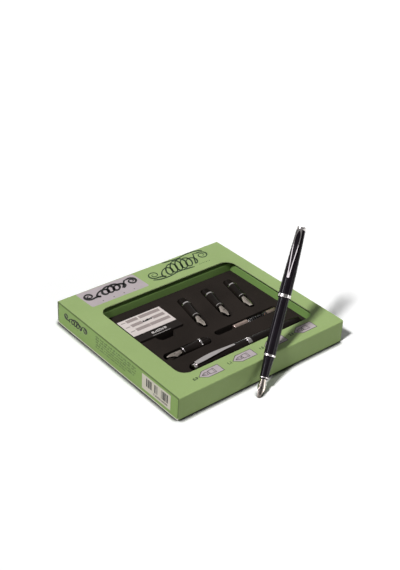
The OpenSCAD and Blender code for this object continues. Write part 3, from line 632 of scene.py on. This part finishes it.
def unit_drawing(spread):
    """Lines of a nib unit seen from above, from its tip: points, width, and whether they close."""
    neck, end = 7.6, 14.5
    return (
        ([(0, -spread / 2), (4.2, -2.0), (neck, -1.5), (neck, 1.5), (4.2, 2.0), (0, spread / 2)], 0.6, True),
        ([(0, 0), (4.0, 0)], 0.4, False),
        ([(5.0, -0.5), (7.0, 0.5)], 0.7, False),
        ([(neck, -2.3), (end, -2.9), (end, 2.9), (neck, 2.3)], 0.5, True),
        ([(13.0, -2.7), (13.0, 2.7)], 0.4, False),
    )


bm = bmesh.new()
lines = bmesh.new()
for tip, size, spread in TAGS:
    add_plate(bm, on_top, tag_outline(tip))
    add_line(lines, on_top, tag_outline(tip, 0.2), 0.55, HIGHER, True)
    for points, width, closed in unit_drawing(spread):
        add_line(lines, on_top, [(tip + 4.2 + u, TAG_MIDDLE + v) for u, v in points], width, HIGHER, closed)
add_object("top_tags", bm, ink_mauve, "sleeve_shell")
add_object("top_tag_lines", lines, ink_grey, "sleeve_shell")

add_numbers(
    "top_sizes", [(size, tip - 1.2, 11.6) for tip, size, spread in TAGS], 4.3, 0.17,
    Matrix.Translation(at(0, 0, SLEEVE_H)), ink_green, "sleeve_shell",
)

# Print on the tray's left end wall

ROWS, ROW_TOP, ROW_STEP, ROW_START, ROW_END, LAST_ROW_END = 5, 18.6, 2.95, 65.5, 127.5, 112
STROKE_RISES, STROKE_STEPS, STROKE_WIDTH, WORD_GAP = (1.1, 1.3, 1.3, 2.0), (0.9, 1.05), 0.55, 1.3
STICKER_OUT = 0.15
BAR_GROUPS = ((144.6, 152.7), (156.6, 160.9), (166.3, 176.0))
BAR_LOW, BAR_HIGH, BAR_WIDTHS, BAR_GAPS = 9.6, 18.6, (0.5, 0.5, 1.0, 1.5), (0.4, 0.4, 0.8)


def on_left_end(u, v, h):
    """Along the left end wall from the back corner, up from the floor, out from the wall."""
    return at(-h, SLEEVE_D - u, v)


def on_sticker(u, v, h):
    return on_left_end(u, v, STICKER_OUT + h)


def rect(u0, u1, v0, v1):
    return [(u0, v0), (u1, v0), (u1, v1), (u0, v1)]


bm = bmesh.new()
add_flourish(bm, on_left_end, (31.5, 14.9), 19.6, 19, 0.9, 2.2)
for u in (22.5, 28.4, 34.2, 40.0):
    add_diamond(bm, on_left_end, u, 8.3, 0.45)
add_object("end_swash", bm, ink_black, "tray")

# Rows of a beginner's slanted strokes, then the sticker's bars, from one seeded run of draws
bm = bmesh.new()
draw = random.Random(11)
for row in range(ROWS):
    u, end = ROW_START + draw.uniform(0, 0.8), ROW_END if row < ROWS - 1 else LAST_ROW_END
    v = ROW_TOP - ROW_STEP * row
    while u < end:
        for _ in range(draw.randint(2, 7)):
            rise = draw.choice(STROKE_RISES)
            add_line(bm, on_left_end, [(u, v), (u + 0.3, v + rise)], STROKE_WIDTH)
            u += draw.choice(STROKE_STEPS)
        u += WORD_GAP
add_object("end_practice_rows", bm, ink_green, "tray")

bm = bmesh.new()
for start, end in BAR_GROUPS:
    u = start
    while u < end:
        wide = draw.choice(BAR_WIDTHS)
        add_plate(bm, on_sticker, rect(u, min(end, u + wide), BAR_LOW, BAR_HIGH))
        u += wide + draw.choice(BAR_GAPS)
add_object("sticker_bars", bm, ink_black, "tray")

add_numbers(
    "sticker_digits", [("0 000000 000000", 175.6, 6.3)], 2.9, 0.06,
    Matrix.Translation(at(-STICKER_OUT, SLEEVE_D, 0)) @ turned(-90, "Z") @ turned(90, "X"),
    ink_grey, "tray",
)

# Print on the cartridge carton, and a painted highlight along its front edge: the carton's front left corner,
# its height and its label

CARTON_X, CARTON_Y, CARTON_Z, CARTON_H, LABEL_T = 34, 101, 3.3, 9.5, 0.15
LABEL_BARS = (
    ((8.6, 22.0), (23.8, 48.8)),
    ((8.9, 22.0), (34.6, 48.8)),
    ((9.0, 25.6), (26.0, 49.8)),
)
LABEL_ROW_V, LABEL_ROW_STEP, LABEL_BAR_H = 31.8, 8.1, 4.6


def on_carton(u, v, h):
    """Along the carton from its front left corner, over its top."""
    return at(CARTON_X + u, CARTON_Y + v, CARTON_Z + CARTON_H + h)


def on_label(u, v, h):
    return on_carton(u, v, h + LABEL_T)


bm = bmesh.new()
for row, bars in enumerate(LABEL_BARS):
    v = LABEL_ROW_V - LABEL_ROW_STEP * row
    for u0, u1 in bars:
        add_plate(bm, on_label, rect(u0, u1, v, v + LABEL_BAR_H))
    add_plate(bm, on_label, rect(2.4, 7.4, v + 1.7, v + 2.9))
add_object("label_rows", bm, ink_taupe, "cartridge_pack")

bm = bmesh.new()
add_flourish(bm, on_label, (28.3, 26.0), 5.6, 5.2, 0.5, 1.4, HIGHER)
add_object("label_swash", bm, ink_black, "cartridge_pack")

bm = bmesh.new()
add_flourish(bm, on_carton, (27, 5.6), 9, 8, 0.35, 1.1)
# Painted highlight: a thin white line along the carton's front edge, where light catches it
add_line(bm, on_carton, [(16.5, 0.9), (37.5, 0.9)], 0.35)
add_object("carton_swash_and_highlight", bm, white_print_and_highlight, "cartridge_pack")

# Painted reflection along the standing pen's clip, a black strip for the dark middle of the chrome: the cap's
# and the clip's sizes as in the CAD source

CAP_LEN, CAP_D, CAP_TOP_D, CAP_CURVE, BAND_H, WASHER, FACE_GAP = 62.4, 12, 8.6, 1.7, 3, 0.6, 0.1
CLIP_LEN, CLIP_ROOT, CLIP_BELLY, CLIP_TIP, BELLY_DROP = 48, 4.2, 5.6, 2.4, 12
CLIP_T, CLIP_ARCH = 0.8, 1.0
CAP_TOP = BAND_H + CAP_LEN
CLIP_TOP = CAP_TOP + WASHER
# Width of the bright rails, and where the painted reflection starts and how much shorter than the clip it is
RAIL, REFLECTION_START, REFLECTION_SHORTER, REFLECTION_STEPS = 0.75, 2.2, 6.4, 48
REFLECTION_LOW, REFLECTION_HIGH = -0.12, 0.05


def clip_back(z):
    """The clip's outer face over the cap's axis, at a height above the cap's mouth."""
    low = min(z, CAP_TOP)
    cap_r = CAP_D / 2 - (CAP_D - CAP_TOP_D) / 2 * (max(0, low - BAND_H) / CAP_LEN) ** CAP_CURVE
    t = (z - (CLIP_TOP - CLIP_LEN)) / CLIP_LEN
    return -cap_r - FACE_GAP - CLIP_ARCH * math.sin(math.pi * t) - CLIP_T


def clip_half(d):
    """Half width of the leaf-shaped clip at a distance below its root."""
    if d < BELLY_DROP:
        return CLIP_ROOT / 2 + (CLIP_BELLY - CLIP_ROOT) / 2 * math.sin(math.pi / 2 * d / BELLY_DROP)
    run = CLIP_LEN - CLIP_TIP / 2 - BELLY_DROP
    return CLIP_TIP / 2 + (CLIP_BELLY - CLIP_TIP) / 4 * (1 + math.cos(math.pi * (d - BELLY_DROP) / run))


def on_clip(u, v, h):
    return STANDING_CAP @ (Vector((clip_back(v) - h, u, v)) * MM)


# The black strip is painted reflection: the dark middle of the chrome clip's reflection, between its bright
# rails
bm = bmesh.new()
left, right = [], []
for i in range(REFLECTION_STEPS + 1):
    d = REFLECTION_START + (CLIP_LEN - REFLECTION_SHORTER) * i / REFLECTION_STEPS
    rounding = min(1, (0.2 + min(i, REFLECTION_STEPS - i)) / 5) ** 0.5
    half = (clip_half(d) - RAIL) * rounding
    left.append((-half, CLIP_TOP - d))
    right.append((half, CLIP_TOP - d))
add_strip(bm, on_clip, left, right, REFLECTION_LOW, REFLECTION_HIGH)
add_object("stand_clip_painted_reflection", bm, black_lacquer, "standing_cap")

# Materials of the CAD nodes. The nibs' engraving is real, but how dark it shows is set per nib, as painted
# shade for how the light meets each.

LOOKS = {
    "sleeve": sleeve_card, "slide_tray": tray_card, "inner_frame": frame_card, "foam_insert": foam(),
    "barcode_label": sticker_paper, "cartridge_carton": carton_card, "carton_label": label_paper,
    "ink_cartridges": ink_plastic, "stand_cartridge": ink_plastic,
    "converter_knob": champagne, "converter_mouth": champagne, "converter_tube": clear_plastic(),
    "converter_piston": rubber, "converter_rod": steel,
    "pen_nib": engraved_nib("nib_steel_pen", CAPPED_PEN, 0.6),
    "stand_nib": engraved_nib("nib_steel_stand", STANDING, 0.95),
}
for key, matrix in SPARES.items():
    LOOKS[f"nib_{key}"] = engraved_nib(f"nib_steel_{key}", matrix, 0.35)
for name in NODES:
    kind = name.split("_")[0]
    if kind == "feed" or name.endswith("_feed"):
        LOOKS[name] = feed_plastic
    elif kind == "section" or name.endswith(("_section", "_cap", "_barrel")):
        LOOKS[name] = black_lacquer if kind == "stand" else moulded_black
    elif kind == "rings" or name.endswith(("_rings", "_clip", "_finial", "_band")):
        LOOKS[name] = chrome
for name, piece in NODES.items():
    piece.data.materials.clear()
    piece.data.materials.append(LOOKS[name])


# Floor, world and lamps

FLOOR_SIZE = 6
FLOOR_BOUNCE = 0.22
# Reach and levels of the floor's painted contact shadow
CONTACT_SHADE_REACH, CONTACT_SHADE_DARK, CONTACT_SHADE_CLEAR = 0.008, 0.62, 0.88
WORLD_LIGHT = 0.06
# Strength of what metal sees, and how far round from the camera's back it changes
BEHIND_CAMERA, BACKDROP = 0.22, 0.5
BACKDROP_WAY, BACKDROP_START, BACKDROP_FULL = (0.44, 0.83, -0.34), 0.02, 0.42
BOX_TINT = (0.95, 0.92, 1.0)


def grey(level, blue=None):
    return (level, level, level if blue is None else blue, 1)


def make_floor():
    bm = bmesh.new()
    bmesh.ops.create_grid(bm, x_segments=1, y_segments=1, size=FLOOR_SIZE)
    mesh = bpy.data.meshes.new("floor")
    bm.to_mesh(mesh)
    bm.free()
    s = Surface("floor_paper", Specular_IOR_Level=0.1, Roughness=0.9)
    sheet = s.mix(s.fit(s.noise(s.place(), 2, 2), 0.3, 0.7), grey(1.07), grey(1.1))
    # Painted contact shadow: the sheet is darkened by ambient occlusion where something stands on it
    contact_shade = s.node("AmbientOcclusion", {"Distance": CONTACT_SHADE_REACH}, samples=12, only_local=False)
    sheet = s.mix(s.fit(contact_shade.outputs["AO"], CONTACT_SHADE_DARK, CONTACT_SHADE_CLEAR), grey(0.02, 0.018), sheet)
    # Less light comes back from the floor to the box than a white sheet would send
    bounce = s.node("LightPath").outputs["Is Diffuse Ray"]
    s.put(s.shader.inputs["Base Color"], s.mix(bounce, sheet, grey(FLOOR_BOUNCE)))
    mesh.materials.append(s.material)
    floor = link(bpy.data.objects.new("floor", mesh))


def make_world():
    world = bpy.data.worlds.new("studio")
    bpy.context.scene.world = world
    world.use_nodes = True
    tree = world.node_tree
    rays = tree.nodes.new("ShaderNodeLightPath").outputs
    sky = tree.nodes["Background"]
    sky.inputs["Color"].default_value = grey(1)
    # Metal sees the white backdrop beyond the box, and a darker room behind the camera
    aim = tree.nodes.new("ShaderNodeVectorMath")
    aim.operation = "DOT_PRODUCT"
    tree.links.new(tree.nodes.new("ShaderNodeTexCoord").outputs["Generated"], aim.inputs[0])
    aim.inputs[1].default_value = BACKDROP_WAY
    room = tree.nodes.new("ShaderNodeMapRange")
    room.interpolation_type = "SMOOTHSTEP"
    tree.links.new(aim.outputs["Value"], room.inputs[0])
    for socket, value in enumerate((BACKDROP_START, BACKDROP_FULL, BEHIND_CAMERA, BACKDROP), 1):
        room.inputs[socket].default_value = value
    # The room for glossy rays, plain white for the camera and through glass, a low light for the rest
    level = None
    for ray, strength in (("Is Glossy Ray", room.outputs[0]), ("Is Transmission Ray", 1), ("Is Camera Ray", 1)):
        made = tree.nodes.new("ShaderNodeMix")
        tree.links.new(rays[ray], made.inputs[0])
        if level is None:
            made.inputs[2].default_value = WORLD_LIGHT
            tree.links.new(strength, made.inputs[3])
        else:
            tree.links.new(level, made.inputs[2])
            made.inputs[3].default_value = strength
        level = made.outputs[0]
    tree.links.new(level, sky.inputs["Strength"])


def aimed(direction):
    return Vector(direction).to_track_quat("-Z", "Y").to_euler()


def make_sun(name, place, angle, strength):
    data = bpy.data.lights.new(name, "SUN")
    data.angle = math.radians(angle)
    data.energy = strength
    lamp = link(bpy.data.objects.new(name, data))
    lamp.rotation_euler = aimed(-Vector(place))
    lamp.visible_glossy = False


def make_lamp(name, place, aim, size, power, gloss_only=False):
    """A soft box. One that is for gloss only shows as a highlight and lights nothing."""
    data = bpy.data.lights.new(name, "AREA")
    data.color = BOX_TINT if gloss_only else (1, 1, 1)
    data.shape = "RECTANGLE"
    data.size, data.size_y = size
    data.energy = power
    lamp = link(bpy.data.objects.new(name, data))
    lamp.location = place
    lamp.rotation_euler = aimed(Vector(aim) - Vector(place))
    lamp.visible_diffuse = not gloss_only
    lamp.visible_camera = False


make_floor()
make_world()
make_sun("key", (-0.93, -0.13, 1.13), 8, 3.38)
make_sun("top", (0.14, 0.1, 1.0), 6, 0.1)
make_lamp("front_fill", (0.3, -1.7, 0.35), (0, 0, 0), (1.6, 0.6), 7.2)
make_lamp("back_fill", (1.25, 1.1, 0.14), (0, 0, 0.02), (1.2, 0.2), 4)
make_lamp("barrel_box", (-1.2, 0.53, 1.03), (0, 0, 0.05), (0.34, 0.9), 10, gloss_only=True)
make_lamp("clip_box", (-1.1, -0.2, 1.25), (0, 0, 0.05), (0.5, 0.9), 1.5, gloss_only=True)
